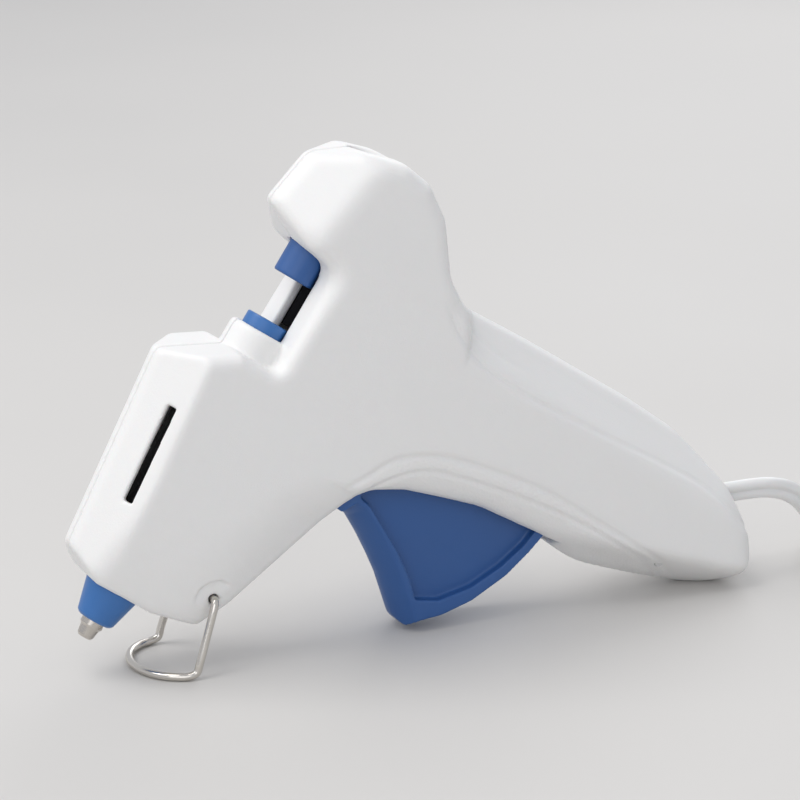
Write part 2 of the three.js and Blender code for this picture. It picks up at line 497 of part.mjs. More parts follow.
// ---------------------------------------------------------------- cord, hank, tie and plug
// The cord leaves the butt, sinks to the ground and is folded into a tied hank.
const HANK_Y = -10.5, HANK_X0 = 133, HANK_X1 = 218, FOLD_OUT = 24.8, FOLD_IN = 13.7, HANK_Z0 = 1.0, HANK_Z1 = 17.5;
const route = [[CORD_EXIT[0] - 13.5, 0, 21.2], [CORD_EXIT[0] - 6, 0, 21.2], [CORD_EXIT[0], 0, 21.2]];
for (const x of [92, 96, 100, 104, 108, 111.5, 115, 119, 123, 127]) {
  const R = 26, d1 = x - 92, d2 = 130.9 - x;
  const z = x < 111.45 ? 21.2 - (R - Math.sqrt(R * R - d1 * d1)) : 3.75 + (R - Math.sqrt(R * R - d2 * d2));
  const t = THREE.MathUtils.clamp((x - 94) / 37, 0, 1);
  route.push([x, 11.5 * t * t * (3 - 2 * t), z]);
}
put("power_cord", solid(tube(route, CORD_W / 2, CORD_W / 2, 8, 24)), CORD, group);
{
  const stadium = (r) => {
    const pts = [];
    for (let i = 0; i <= 12; i++) { const a = Math.PI / 2 - (Math.PI * i) / 12; pts.push([HANK_X1 + r * Math.cos(a), HANK_Y + r * Math.sin(a)]); }
    for (let i = 0; i <= 12; i++) { const a = -Math.PI / 2 - (Math.PI * i) / 12; pts.push([HANK_X0 + r * Math.cos(a), HANK_Y + r * Math.sin(a)]); }
    return pts;
  };
  const loop = plate(stadium(FOLD_OUT), HANK_Z0, HANK_Z1).subtract(plate(stadium(FOLD_IN), HANK_Z0 - 5, HANK_Z1 + 5));
  put("cord_coil", biggest(loop.subtract(solid(tube(route, CORD_W / 2 + 0.5, CORD_W / 2 + 0.5, 8, 24)))), CORD, group);
  const y0 = HANK_Y + FOLD_IN, y1 = HANK_Y + FOLD_OUT, t0 = 0.35, t1 = 0.85;
  const band = new THREE.Shape([[y0 - t1 - 0.3, 0.1], [y1 + t1, 0.1], [y1 + t1, HANK_Z1 + t1 + 0.3], [y0 - t1 - 0.3, HANK_Z1 + t1 + 0.3]].map((p) => new THREE.Vector2(...p)));
  band.holes.push(new THREE.Path([[y0 - t0, 0.65], [y0 - t0, HANK_Z1 + t0], [y1 + t0, HANK_Z1 + t0], [y1 + t0, 0.65]].map((p) => new THREE.Vector2(...p))));
  const t = new THREE.ExtrudeGeometry(band, { depth: 5, bevelEnabled: false });
  // (x, y, z) of the extrusion -> (Y, Z, X)
  t.applyMatrix4(new THREE.Matrix4().makeBasis(new THREE.Vector3(0, 1, 0), new THREE.Vector3(0, 0, 1), new THREE.Vector3(1, 0, 0)));
  t.translate(201, 0, 0);
  put("cord_tie", solid(t), BLACK, group);
}
{
  const z = 5.9, y = HANK_Y, x = HANK_X0 + 50;
  const body = geometryOf(cushion(rounded([[0, -4.6, 1], [0, 4.6, 1], [7, 6.2, 2], [22, 8.4, 2.5], [22, -8.4, 2.5], [7, -6.2, 2]].reverse(), 2), 5.6, 2, 0, 2, 2));
  body.translate(x, y, z);
  put("plug_body", solid(body), CORD, group);
  for (const s of [1, -1]) {
    const b = new THREE.ExtrudeGeometry(shapeOf(rounded([[0, -3.1, 0], [0, 3.1, 0], [16, 3.1, 1.6], [16, -3.1, 1.6]], 2)), { depth: 1.5, bevelEnabled: false });
    b.rotateX(Math.PI / 2);
    b.translate(x + 22.3, y + s * 6.3 + 0.75, z);
    put(s > 0 ? "plug_blade_1" : "plug_blade_2", solid(b), BRASS, group);
  }
}

group.updateMatrixWorld(true);
export default group;
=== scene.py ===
import math

import bpy
import numpy as np
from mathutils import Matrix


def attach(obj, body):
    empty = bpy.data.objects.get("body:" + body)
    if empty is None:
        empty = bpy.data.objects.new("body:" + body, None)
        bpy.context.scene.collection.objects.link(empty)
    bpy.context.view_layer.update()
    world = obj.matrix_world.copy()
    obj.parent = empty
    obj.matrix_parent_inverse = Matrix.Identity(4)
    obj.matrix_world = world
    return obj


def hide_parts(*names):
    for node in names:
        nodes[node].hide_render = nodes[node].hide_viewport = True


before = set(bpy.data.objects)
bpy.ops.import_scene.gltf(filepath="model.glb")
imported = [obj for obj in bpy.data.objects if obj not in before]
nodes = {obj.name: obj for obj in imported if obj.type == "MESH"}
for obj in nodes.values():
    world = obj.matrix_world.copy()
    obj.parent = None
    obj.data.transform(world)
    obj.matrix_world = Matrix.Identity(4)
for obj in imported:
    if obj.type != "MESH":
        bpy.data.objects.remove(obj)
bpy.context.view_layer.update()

import openvdb
from mathutils import Matrix, Vector

SCENE = bpy.context.scene
MM = 0.001

# gun axes: u back along the stick channel, v away from the handle, w to the left-hand side (w = -Y)
TIP = np.array([-83.72, 0.0, 9.63])
AX_U = np.array([0.5542, 0.0, 0.8324])
AX_V = np.array([-0.8324, 0.0, 0.5542])
AX_W = np.array([0.0, -1.0, 0.0])


def to_row(p):
    """Gun axes in mm to the row frame in metres."""
    p = np.asarray(p, float).reshape(-1, 3)
    return (TIP + p[:, :1] * AX_U + p[:, 1:2] * AX_V + p[:, 2:3] * AX_W) * MM


# ------------------------------------------------------------------ camera
cam_data = bpy.data.cameras.new("camera")
cam_data.lens = 135.0
cam_data.sensor_width = 36.0
cam_data.clip_start = 0.02
cam_data.clip_end = 20.0
cam = bpy.data.objects.new("camera", cam_data)
SCENE.collection.objects.link(cam)
cam.location = (-0.285055, -0.611284, 0.253585)
cam.rotation_euler = (Vector((-0.004671, 0.0, 0.056034)) - cam.location).to_track_quat("-Z", "Y").to_euler()
SCENE.camera = cam


# ------------------------------------------------------------------ materials
def rgb(r, g, b):
    return tuple(((c / 255 + 0.055) / 1.055) ** 2.4 if c > 10 else c / 255 / 12.92 for c in (r, g, b))


def material(name, color, rough=0.4, metal=0.0, rough_var=0.06, bump=0.0, scale=1500.0, coarse=60.0,
             color_var=0.03, coat=0.0, sss=0.0, grain=None, stretch=(1, 1, 1), alpha=1.0):
    m = bpy.data.materials.new(name)
    m.use_nodes = True
    t = m.node_tree
    b = t.nodes["Principled BSDF"]
    co = t.nodes.new("ShaderNodeTexCoord")
    mp = t.nodes.new("ShaderNodeMapping")
    mp.inputs["Scale"].default_value = stretch
    t.links.new(co.outputs["Object"], mp.inputs["Vector"])

    def noise(s, detail=3.0):
        n = t.nodes.new("ShaderNodeTexNoise")
        n.inputs["Scale"].default_value = s
        n.inputs["Detail"].default_value = detail
        t.links.new(mp.outputs["Vector"], n.inputs["Vector"])
        return n

    wide, fine = noise(coarse), noise(scale, 2.0)
    dark = tuple(c * (1 - color_var) for c in color) + (1,)
    lite = tuple(min(1.0, c * (1 + color_var)) for c in color) + (1,)
    mix = t.nodes.new("ShaderNodeMix")
    mix.data_type = "RGBA"
    mix.inputs[6].default_value = dark
    mix.inputs[7].default_value = lite
    t.links.new(wide.outputs["Fac"], mix.inputs[0])
    t.links.new(mix.outputs[2], b.inputs["Base Color"])
    mr = t.nodes.new("ShaderNodeMapRange")
    mr.inputs["From Min"].default_value = 0.3
    mr.inputs["From Max"].default_value = 0.7
    mr.inputs["To Min"].default_value = max(0.02, rough - rough_var)
    mr.inputs["To Max"].default_value = min(1.0, rough + rough_var)
    t.links.new(wide.outputs["Fac"], mr.inputs["Value"])
    t.links.new(mr.outputs["Result"], b.inputs["Roughness"])
    b.inputs["Metallic"].default_value = metal
    b.inputs["Coat Weight"].default_value = coat
    if sss:
        b.inputs["Subsurface Weight"].default_value = sss
        b.inputs["Subsurface Scale"].default_value = 0.002
    if bump:
        bp = t.nodes.new("ShaderNodeBump")
        bp.inputs["Strength"].default_value = bump
        bp.inputs["Distance"].default_value = 0.00012
        t.links.new(fine.outputs["Fac"], bp.inputs["Height"])
        last = bp
        if grain:
            vor = t.nodes.new("ShaderNodeTexVoronoi")
            vor.inputs["Scale"].default_value = grain
            t.links.new(mp.outputs["Vector"], vor.inputs["Vector"])
            att = t.nodes.new("ShaderNodeAttribute")
            att.attribute_name = "grain"
            mul = t.nodes.new("ShaderNodeMath")
            mul.operation = "MULTIPLY"
            t.links.new(vor.outputs["Distance"], mul.inputs[0])
            t.links.new(att.outputs["Fac"], mul.inputs[1])
            b2 = t.nodes.new("ShaderNodeBump")
            b2.inputs["Strength"].default_value = 0.55
            b2.inputs["Distance"].default_value = 0.00016
            t.links.new(mul.outputs["Value"], b2.inputs["Height"])
            t.links.new(bp.outputs["Normal"], b2.inputs["Normal"])
            last = b2
        t.links.new(last.outputs["Normal"], b.inputs["Normal"])
    m.diffuse_color = tuple(color) + (1,)
    return m


BLUE_RGB = rgb(46, 89, 150)
WHITE = material("white_shell", (0.83, 0.825, 0.815), rough=0.47, rough_var=0.05, bump=0.35, scale=2600, coarse=45, color_var=0.012, sss=0.04, grain=1500)
BLUE = material("blue_trigger", BLUE_RGB, rough=0.42, rough_var=0.05, bump=0.25, scale=2200, coarse=70, color_var=0.04)
SILICONE = material("blue_silicone", rgb(54, 108, 172), rough=0.38, rough_var=0.05, bump=0.12, scale=1800, coarse=120, color_var=0.04)
NICKEL = material("nickel_wire", (0.66, 0.63, 0.585), rough=0.2, rough_var=0.07, metal=1.0, bump=0.12, scale=2600, coarse=160, color_var=0.05, stretch=(1, 1, 3))
TIPMETAL = material("nickel_tip", (0.60, 0.565, 0.52), rough=0.27, rough_var=0.07, metal=1.0, bump=0.2, scale=3000, coarse=240, color_var=0.08)
ALU = material("cast_aluminium", (0.62, 0.63, 0.64), rough=0.45, rough_var=0.1, metal=1.0, bump=0.5, scale=1600, coarse=110, color_var=0.06)
STEEL = material("steel", (0.58, 0.58, 0.58), rough=0.3, rough_var=0.08, metal=1.0, bump=0.15, scale=2400, coarse=150, color_var=0.05)
# black: the own colour of the lever, link, clamp and tie; on the stick trough under the feed slot it is painted shade
# for the dark interior
BLACK_NYLON_AND_SLOT_SHADE = material("black_nylon", (0.02, 0.02, 0.023), rough=0.5, rough_var=0.08, bump=0.3, scale=2000, coarse=100, color_var=0.1)
CERAMIC = material("ceramic", (0.78, 0.74, 0.64), rough=0.65, rough_var=0.08, bump=0.3, scale=2500, coarse=120, color_var=0.03)
# near-black wrap round the barrel: painted shade that darkens the interior seen through the feed slot
WRAP_PAINTED_SHADE = material("glass_wrap", (0.03, 0.03, 0.033), rough=0.85, rough_var=0.08, bump=0.8, scale=1400, coarse=200, color_var=0.15)
CORD = material("white_cord", (0.80, 0.80, 0.795), rough=0.33, rough_var=0.05, bump=0.12, scale=1600, coarse=60, color_var=0.012, sss=0.05, coat=0.1)
LEADW = material("lead_white", (0.78, 0.77, 0.74), rough=0.5, rough_var=0.06, bump=0.2, scale=2000, coarse=90)
LEADB = material("lead_black", (0.03, 0.03, 0.032), rough=0.5, rough_var=0.06, bump=0.2, scale=2000, coarse=90)
BRASS = material("plug_brass", (0.62, 0.50, 0.27), rough=0.27, rough_var=0.08, metal=1.0, bump=0.15, scale=2400, coarse=200, color_var=0.06)


def use(obj, m):
    obj.data.materials.clear()
    obj.data.materials.append(m)
    for p in obj.data.polygons:
        p.material_index = 0
    return obj


# ------------------------------------------------------------------ fields
class Grid:
    def __init__(self, lo, hi, step):
        self.lo, self.step = np.array(lo, float), step
        n = [int(math.ceil((hi[k] - lo[k]) / step)) + 1 for k in range(3)]
        ax = [lo[k] + step * np.arange(n[k], dtype=np.float32) for k in range(3)]
        self.u = ax[0][:, None, None].astype(np.float32)
        self.v = ax[1][None, :, None].astype(np.float32)
        self.w = ax[2][None, None, :].astype(np.float32)
        self.u2 = ax[0][:, None].astype(np.float32)
        self.v2 = ax[1][None, :].astype(np.float32)

    def mesh(self, d, name, adaptivity=0.0, mirror=False):
        d = np.array(np.broadcast_to(d, (self.u.shape[0], self.v.shape[1], self.w.shape[2])), np.float32)
        for k in range(3):                      # nothing touches the edge of the grid
            for e in (0, -1):
                s = [slice(None)] * 3
                s[k] = e
                d[tuple(s)] = np.maximum(d[tuple(s)], self.step)
        grid = openvdb.FloatGrid(3.0 * self.step)
        grid.copyFromArray(np.ascontiguousarray(np.clip(d, -3 * self.step, 3 * self.step)))
        pts, tris, quads = grid.convertToPolygons(isovalue=0.0, adaptivity=adaptivity)
        pts = np.asarray(pts, float) * self.step + self.lo
        if mirror:
            pts[:, 2] *= -1
        faces = [tuple(int(i) for i in q) for q in np.asarray(quads)] + [tuple(int(i) for i in q) for q in np.asarray(tris)]
        row = to_row(pts)
        # volume sign, so that faces look outwards
        vol = 0.0
        for arr in (np.asarray(quads), np.asarray(tris)):
            if len(arr):
                a, b, c = row[arr[:, 0]], row[arr[:, 1]], row[arr[:, 2]]
                vol += float(np.einsum("ij,ij->i", a, np.cross(b, c)).sum())
                if arr.shape[1] == 4:
                    e = row[arr[:, 3]]
                    vol += float(np.einsum("ij,ij->i", a, np.cross(c, e)).sum())
        if vol < 0:
            faces = [f[::-1] for f in faces]
        me = bpy.data.meshes.new(name)
        me.from_pydata([tuple(p) for p in row], [], faces)
        me.update()
        me.polygons.foreach_set("use_smooth", np.ones(len(me.polygons), bool))
        o = bpy.data.objects.new(name, me)
        SCENE.collection.objects.link(o)
        return o, pts


def smooth_outline(points, steps=6):
    """Closed outline [u, v, radius] with its corners rounded."""
    out, n = [], len(points)
    for i in range(n):
        x, y = points[i][:2]
        r = points[i][2] if len(points[i]) > 2 else 0
        if r < 0.05:
            out.append((x, y))
            continue
        p, q = points[i - 1], points[(i + 1) % n]
        a, b = np.array([p[0] - x, p[1] - y]), np.array([q[0] - x, q[1] - y])
        la, lb = np.hypot(*a), np.hypot(*b)
        a, b = a / la, b / lb
        half = math.acos(max(-1, min(1, float(a @ b)))) / 2
        t = min(r / math.tan(half), la * 0.46, lb * 0.46)
        for k in range(steps + 1):
            s = k / steps
            c0, c1, c2 = (1 - s) ** 2, 2 * s * (1 - s), s * s
            out.append((c0 * (x + a[0] * t) + c1 * x + c2 * (x + b[0] * t), c0 * (y + a[1] * t) + c1 * y + c2 * (y + b[1] * t)))
    return out


def seg_dist2(px, py, a, b):
    dx, dy = b[0] - a[0], b[1] - a[1]
    t = np.clip(((px - a[0]) * dx + (py - a[1]) * dy) / max(dx * dx + dy * dy, 1e-9), 0, 1)
    return (px - a[0] - t * dx) ** 2 + (py - a[1] - t * dy) ** 2


def poly_sdf(pts, px, py):
    """Signed distance to a closed polygon, below 0 inside."""
    px, py = np.broadcast_arrays(px, py)
    best = np.full(px.shape, 1e9, np.float32)
    inside = np.zeros(px.shape, bool)
    n = len(pts)
    for i in range(n):
        a, b = pts[i], pts[(i + 1) % n]
        best = np.minimum(best, seg_dist2(px, py, a, b))
        if a[1] != b[1]:
            cross = ((a[1] > py) != (b[1] > py)) & (px < (b[0] - a[0]) * (py - a[1]) / (b[1] - a[1]) + a[0])
            inside ^= cross
    d = np.sqrt(best)
    return np.where(inside, -d, d).astype(np.float32)


def line_dist(pts, px, py):
    px, py = np.broadcast_arrays(px, py)
    best = np.full(px.shape, 1e9, np.float32)
    for a, b in zip(pts[:-1], pts[1:]):
        best = np.minimum(best, seg_dist2(px, py, a, b))
    return np.sqrt(best).astype(np.float32)


def spline(pts, n=8):
    """Catmull-Rom through the points."""
    p = [np.array(q, float) for q in pts]
    p = [2 * p[0] - p[1]] + p + [2 * p[-1] - p[-2]]
    out = []
    for i in range(1, len(p) - 2):
        # centripetal, in Barry and Goldman's form
        a, b, c, d = p[i - 1], p[i], p[i + 1], p[i + 2]
        t0, t1 = 0.0, max(np.linalg.norm(b - a), 1e-9) ** 0.5
        t2 = t1 + max(np.linalg.norm(c - b), 1e-9) ** 0.5
        t3 = t2 + max(np.linalg.norm(d - c), 1e-9) ** 0.5
        for k in range(n):
            t = t1 + (t2 - t1) * k / n
            a1 = (t1 - t) / (t1 - t0) * a + (t - t0) / (t1 - t0) * b
            a2 = (t2 - t) / (t2 - t1) * b + (t - t1) / (t2 - t1) * c
            a3 = (t3 - t) / (t3 - t2) * c + (t - t2) / (t3 - t2) * d
            b1 = (t2 - t) / (t2 - t0) * a1 + (t - t0) / (t2 - t0) * a2
            b2 = (t3 - t) / (t3 - t1) * a2 + (t - t1) / (t3 - t1) * a3
            out.append((t2 - t) / (t2 - t1) * b1 + (t - t1) / (t2 - t1) * b2)
    out.append(p[-2])
    return out


def smax(a, b, k):
    if k <= 0:
        return np.maximum(a, b)
    h = np.clip(0.5 + 0.5 * (a - b) / k, 0, 1)
    return b + (a - b) * h + k * h * (1 - h)


def smin(a, b, k):
    return -smax(-a, -b, k)


def step01(x, a, b):
    t = np.clip((x - a) / (b - a), 0, 1)
    return (t * t * (3 - 2 * t)).astype(np.float32)


def extrude(d2, w, half, r):
    """A 2D field d2 (u, v, 1) made a slab of that half width with its rims rounded by r."""
    a, b = d2 + r, np.abs(w) - (half - r)
    return np.minimum(np.maximum(a, b), 0) + np.hypot(np.maximum(a, 0), np.maximum(b, 0)) - r


def cyl_u(g, u0, u1, r, e=0.0):
    rad = np.hypot(g.v, g.w)
    a, b = rad - r + e, np.abs(g.u - (u0 + u1) / 2) - (u1 - u0) / 2 + e
    return np.minimum(np.maximum(a, b), 0) + np.hypot(np.maximum(a, 0), np.maximum(b, 0)) - e


def cyl_w(g, u, v, w0, w1, r):
    return np.maximum(np.hypot(g.u - u, g.v - v) - r, np.abs(g.w - (w0 + w1) / 2) - (w1 - w0) / 2)


def box3(g, u0, u1, v0, v1, w0, w1, e=0.0):
    a = np.abs(g.u - (u0 + u1) / 2) - (u1 - u0) / 2 + e
    b = np.abs(g.v - (v0 + v1) / 2) - (v1 - v0) / 2 + e
    c = np.abs(g.w - (w0 + w1) / 2) - (w1 - w0) / 2 + e
    out = np.sqrt(np.maximum(a, 0) ** 2 + np.maximum(b, 0) ** 2 + np.maximum(c, 0) ** 2)
    return np.minimum(np.maximum(np.maximum(a, b), c), 0) + out - e


def plane(g, a, b, c, inside):
    """Distance past the plane through three points, below 0 on the side of `inside`."""
    a, b, c, i = (np.array(x, float) for x in (a, b, c, inside))
    n = np.cross(b - a, c - a)
    n /= np.linalg.norm(n)
    if n @ (i - a) > 0:
        n = -n
    return ((g.u - a[0]) * n[0] + (g.v - a[1]) * n[1] + (g.w - a[2]) * n[2]).astype(np.float32)


# ------------------------------------------------------------------ housing
HALF_W, WALL = 13.8, 2.2
PIVOT, STAND = (58.5, -29.5), (22.2, -18.6)
SCREWS = [(64.5, 12.3), (32, -19.4), (120.5, -13.5), (100.5, -57.5), (79.5, -121)]
BODY = smooth_outline([
    (12.9, 7.6, 2), (17.4, 15.7, 2.5), (41.3, 18.4, 30), (65.6, 21.2, 2.5), (73.9, 7.2, 3),
    (73.9, -3.13, 3), (100.2, -3.13, 5), (101.6, 5, 6), (106.9, 15.8, 2.5),
    (120.6, 13.2, 4), (126.4, 5.0, 4), (129.3, -5, 6), (128.4, -13, 6), (123.5, -20.7, 6),
    (112.6, -29.4, 8), (108.7, -37, 10), (109.9, -60, 20), (110.6, -92, 30), (109.9, -109, 20),
    (104.9, -127.6, 12), (98.3, -138.6, 8), (89.6, -146.0, 7), (79.2, -138.4, 10),
    (71.3, -119.5, 10), (69.1, -107, 14), (70.8, -88, 25), (69.4, -68.5, 20), (64.4, -48.2, 10),
    (60.6, -39.2, 6), (55.5, -36.4, 4), (38.2, -30.0, 30), (22.5, -24.2, 8), (14.6, -19.6, 3),
    (12.4, -8, 6)])
LINE_A = spline([(107.4, -30.1), (102.6, -37.6), (99, -47.8), (98, -58.2), (98.5, -72.2), (99.6, -88.7), (100.8, -106.9), (101.1, -119), (99.6, -128.7), (96.5, -141)], 4)
LINE_B = spline([(107.8, -32.4), (105.5, -40.8), (103.4, -48.5), (102.8, -56.1), (103.6, -66)], 4)
LINE_C = spline([(59.5, -32.6), (64.4, -35.9), (70.1, -39.6), (74.4, -46.2), (77.2, -54.0), (79.4, -65.5), (81.0, -78.5), (81.0, -92.3), (80.6, -108.7), (80.2, -119.8), (78.4, -127.9), (75.2, -136)], 4)
LINE_D = spline([(59.0, -37.0), (64.1, -40.1), (68.8, -44.6), (71.9, -49.5), (73.8, -56.6), (76.0, -68.1), (77.6, -80.5), (78.7, -93.6), (78.5, -108.1), (78.1, -117.9), (75.7, -123.6), (72.6, -131)], 4)


def side_of(line, far):
    """Closed region between a line and points well outside the housing."""
    return [tuple(p) for p in line] + list(far)


REGION_A = side_of(LINE_A, [(140, -150), (140, -24)])
REGION_C = side_of(LINE_C, [(30, -150), (30, -30)])
REGION_D = side_of(LINE_D, [(30, -150), (30, -36)])


def housing(step):
    g = Grid((9.0, -150.0, -0.9), (133.0, 25.0, 15.2), step)
    d2 = poly_sdf(BODY, g.u2, g.v2)[:, :, None] + 0.06
    # rim radius: crisp at the front, soft on the grip
    r = 3.4 + 0.0 * g.u + 0.0 * g.v
    grip = step01(-g.v, 26, 62)
    r = r + grip * 4.1
    rear = step01(g.u, 84, 104) * step01(g.v, -34, -12)
    r = r + rear * 1.4
    base = extrude(d2, g.w, HALF_W - 0.05, r)
    front_top = plane(g, (17.4, 15.9, 2.2), (65.6, 21.3, 2.2), (46, 10.6, HALF_W), (40, 0, 0))
    front_top = front_top - np.maximum(g.u - 78, 0) * 3.0
    rear_top = plane(g, (106.9, 15.9, 2.2), (120.6, 13.4, 2.2), (113, 3.2, HALF_W), (113, -10, 0))
    rear_top = rear_top - np.maximum(88 - g.u, 0) * 3.0
    back = plane(g, (110.4, -60, 2.6), (110.4, -110, 2.6), (98.8, -80, HALF_W), (90, -80, 0))
    back = back - np.maximum(g.v + 43, 0) * 1.1
    past_d = -poly_sdf(REGION_D, g.u2, g.v2)[:, :, None]
    drop = 0.42 * np.clip(past_d + 0.6, 0, 9 - 4 * step01(-g.v, 104, 116)) * step01(g.u, 54, 62) * step01(-g.v, 34, 44)
    finger = (g.w - (HALF_W + 0.35 - drop)) * 0.9
    belly = plane(g, (22.5, -20.4, 9.9), (54, -32.6, 9.9), (22.5, -10.5, HALF_W), (40, 0, 0))
    belly = belly - np.maximum(g.u - 49, 0) * 0.2 - np.maximum(g.u - 58, 0) * 1.0
    nose = plane(g, (12.9, 0, 9.6), (12.9, 10, 9.6), (29, 0, HALF_W), (40, 0, 0))
    nose = nose - np.maximum(g.u - 50, 0) * 3.0
    for p, k in ((front_top, 1.1), (rear_top, 2.6), (back, 2.4), (finger, 1.6), (belly, 2.6), (nose, 3.0)):
        base = smax(base, p, k)
    outer = base
    collar = cyl_u(g, 66, 80.3, 7.56, 1.2)
    outer = smin(outer, collar, 0.7)
    # lines and shallow steps on the grip
    side = step01(np.abs(g.w), 3.0, 6.0)
    if True:
        da, db = line_dist(LINE_A, g.u2, g.v2)[:, :, None], line_dist(LINE_B, g.u2, g.v2)[:, :, None]
        dc, dd = line_dist(LINE_C, g.u2, g.v2)[:, :, None], line_dist(LINE_D, g.u2, g.v2)[:, :, None]
        sa = poly_sdf(REGION_A, g.u2, g.v2)[:, :, None]
        sc, sd = poly_sdf(REGION_C, g.u2, g.v2)[:, :, None], poly_sdf(REGION_D, g.u2, g.v2)[:, :, None]
        low = step01(-g.v, 28, 36)
        cut = 0.42 * np.exp(-(da / 0.55) ** 2) * low
        cut = cut + 0.26 * np.exp(-(db / 0.6) ** 2) * step01(g.v, -66, -44) * low
        cut = cut + (0.5 * np.exp(-(dc / 0.6) ** 2) + 0.5 * np.exp(-(dd / 0.6) ** 2)) * low
        cut = cut + 0.22 * step01(-sa, -0.3, 0.5) * low
        cut = cut + 0.22 * (step01(-sc, -0.3, 0.5) + step01(-sd, -0.3, 0.5)) * step01(-g.v, 31, 38) * step01(g.u, 56, 66)
        outer = outer + cut * side
    # the hollow, and what stands in it
    shell = np.maximum(outer, -(base + WALL + 0.1))
    for u, v in SCREWS:
        shell = np.minimum(shell, np.maximum(cyl_w(g, u, v, -1, 14.6, 2.9), outer))
    shell = np.minimum(shell, np.maximum(cyl_w(g, *PIVOT, 7.9, 14.6, 3.3), outer))
    shell = np.minimum(shell, np.maximum(cyl_w(g, *STAND, -1, 14.6, 4.2), outer))
    guide = np.maximum(cyl_u(g, 99, 124.4, 6.9), -box3(g, 96, 122.5, -20, -2.8, -20, 20))
    shell = np.minimum(shell, np.maximum(guide, outer))
    shell = np.maximum(shell, -np.maximum(box3(g, 80, 101.0, -12, -5.4, -6.4, 6.4), -(outer + 1.0)))
    # openings
    cuts = [
        cyl_u(g, -5, 20, 7.0), cyl_u(g, 60, 90, 5.45), cyl_u(g, 55, 79.4, 6.35), cyl_u(g, 96, 121.5, 5.2),
        box3(g, 80.3, 101.5, -8, 0.0, -4.3, 4.3, 0.3), box3(g, 99, 121.5, -9, -2, -4.3, 4.3),
        cyl_w(g, *PIVOT, -11.8, 11.8, 1.8),
        cyl_w(g, *STAND, 4.6, 20, 1.28),
        cyl_w(g, *STAND, 10.45, 20, 4.7),
    ]
    inlet = np.hypot(g.v, g.w) - (4.3 + step01(g.u, 126.0, 131.0) * 2.4)
    cuts.append(np.maximum(inlet, 120 - g.u))
    z = 9.63 + 0.8324 * g.u + 0.5542 * g.v
    x = -83.72 + 0.5542 * g.u - 0.8324 * g.v
    cuts.append(np.maximum(np.hypot(z - 21.2, g.w) - 3.05, 66.5 - x))
    # vent slot in the top bevel
    a, c = math.atan2(1.9, 22), 0.72
    rx = np.array([[1, 0, 0], [0, math.cos(-c), -math.sin(-c)], [0, math.sin(-c), math.cos(-c)]])
    rz = np.array([[math.cos(a), -math.sin(a), 0], [math.sin(a), math.cos(a), 0], [0, 0, 1]])
    m = (rz @ rx).T
    q = [g.u - 44.4, g.v - 12.6, g.w - 8.6]
    lx, ly, lz = (m[k][0] * q[0] + m[k][1] * q[1] + m[k][2] * q[2] for k in range(3))
    slot = np.maximum(np.maximum(np.abs(lx) - 11.8, np.abs(ly) - 1.2), np.abs(lz) - 8)
    cuts.append(slot)
    trig = smooth_outline([(49.0, -38.5, 0), (52.2, -33.5, 0), (57, -32.6, 0), (71, -33.0, 0), (79, -60, 0), (79, -93.2, 0), (60, -95.4, 0)])
    cuts.append(np.maximum(poly_sdf(trig, g.u2, g.v2)[:, :, None], np.abs(g.w) - 7.4))
    for q in cuts:
        shell = smax(shell, -q, 0.35)
    # cut the shell off at the floor plane (the stand boss disc and the recess round it are made above)
    shell = smax(shell, -z + 0.03, 0.5)
    return g, shell, outer


def make_shells():
    step = 0.5
    g, shell, outer = housing(step)
    out = []
    for name, right in (("housing_left_skin", False), ("housing_right_skin", True)):
        d = smax(shell, 0.15 - g.w, 0.45)
        if right:
            for u, v in SCREWS:
                d = np.maximum(d, -cyl_w(g, u, v, 9.4, 30, 2.5))
        for u, v in SCREWS:
            d = np.maximum(d, -np.maximum(cyl_w(g, u, v, -20, 10.0 if right else 8.7, 1.35), -99.0 if right else outer + 1.5))
        o, pts = g.mesh(d, name, adaptivity=0.0, mirror=right)
        # the grain is on the finger side of the grip
        s = poly_sdf(REGION_C, pts[:, 0], pts[:, 1])
        val = np.clip(-s / 0.6, 0, 1) * np.clip((-pts[:, 1] - 34) / 5, 0, 1)
        att = o.data.attributes.new("grain", "FLOAT", "POINT")
        att.data.foreach_set("value", val.astype(np.float32))
        use(o, WHITE)
        out.append(o)
    return out


left, right = make_shells()
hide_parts("left_housing_shell")
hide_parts("right_housing_shell")
for o in (left, right):
    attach(o, "body")

# ------------------------------------------------------------------ trigger
FINGER = [(53.0, -42.4), (50.2, -47.8), (47.1, -53.0), (44.1, -57.6), (40.9, -61.6), (37.2, -66.2)]
RIM = [(38.9, -70.6), (43.0, -75.6), (49.5, -80.9), (58.7, -85.7), (66.2, -88.0), (75.6, -90.0)]


